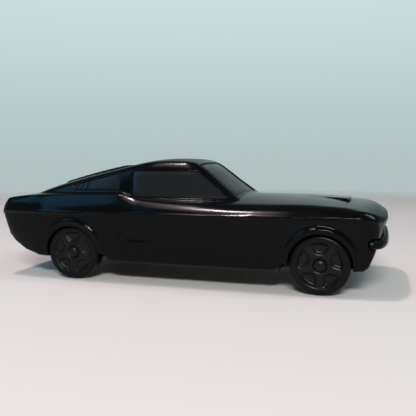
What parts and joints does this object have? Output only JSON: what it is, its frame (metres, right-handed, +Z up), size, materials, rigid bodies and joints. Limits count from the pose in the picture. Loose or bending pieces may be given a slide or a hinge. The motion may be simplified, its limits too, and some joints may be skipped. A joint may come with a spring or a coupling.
{
  "type": "toy fastback coupe",
  "caption": "Moulded model of a fastback coupe with blind windows, a slatted rear window and free-turning wheels on fixed axles under a hollow shell.",
  "frame": {"origin": "on the ground under the middle of the overall box", "axes": "+X towards the nose, +Y towards the car's left side, +Z up"},
  "size_m": [0.18, 0.075, 0.056],
  "materials": {
    "shell_black": "satin gloss, moulded",
    "window_black": "satin gloss, blind",
    "trim_black": "satin gloss",
    "lamp_black": "gloss",
    "base_black": "fine texture",
    "axle_steel": "drawn rod",
    "cap_black": "gloss, domed",
    "wheel_black": "satin gloss",
    "tyre_black": "smooth satin"
  },
  "bodies": {
    "car": {"body_shell": "shell_black", "windscreen": "window_black", "side_window_left": "window_black", "side_window_right": "window_black", "quarter_vent_left": "shell_black", "quarter_vent_right": "shell_black", "rear_louvre": "trim_black", "grille": "trim_black", "headlamps": "lamp_black", "front_bumper": "trim_black", "rear_bumper": "trim_black", "tail_lamps": "lamp_black", "base_plate": "base_black", "front_axle": "axle_steel", "rear_axle": "axle_steel", "axle_caps": "cap_black"},
    "wheel_front_left": {"rim_front_left": "wheel_black", "tyre_front_left": "tyre_black"},
    "wheel_front_right": {"rim_front_right": "wheel_black", "tyre_front_right": "tyre_black"},
    "wheel_rear_left": {"rim_rear_left": "wheel_black", "tyre_rear_left": "tyre_black"},
    "wheel_rear_right": {"rim_rear_right": "wheel_black", "tyre_rear_right": "tyre_black"}
  },
  "joints": [
    {"name": "wheel_front_left_spin", "type": "hinge", "parent": "car", "child": "wheel_front_left", "pos_m": [0.0626, 0.0305, 0.0127], "axis": [0, 1, 0], "continuous": true},
    {"name": "wheel_front_right_spin", "type": "hinge", "parent": "car", "child": "wheel_front_right", "pos_m": [0.0626, -0.0305, 0.0127], "axis": [0, 1, 0], "continuous": true},
    {"name": "wheel_rear_left_spin", "type": "hinge", "parent": "car", "child": "wheel_rear_left", "pos_m": [-0.0514, 0.0305, 0.0127], "axis": [0, 1, 0], "continuous": true},
    {"name": "wheel_rear_right_spin", "type": "hinge", "parent": "car", "child": "wheel_rear_right", "pos_m": [-0.0514, -0.0305, 0.0127], "axis": [0, 1, 0], "continuous": true}
  ]
}
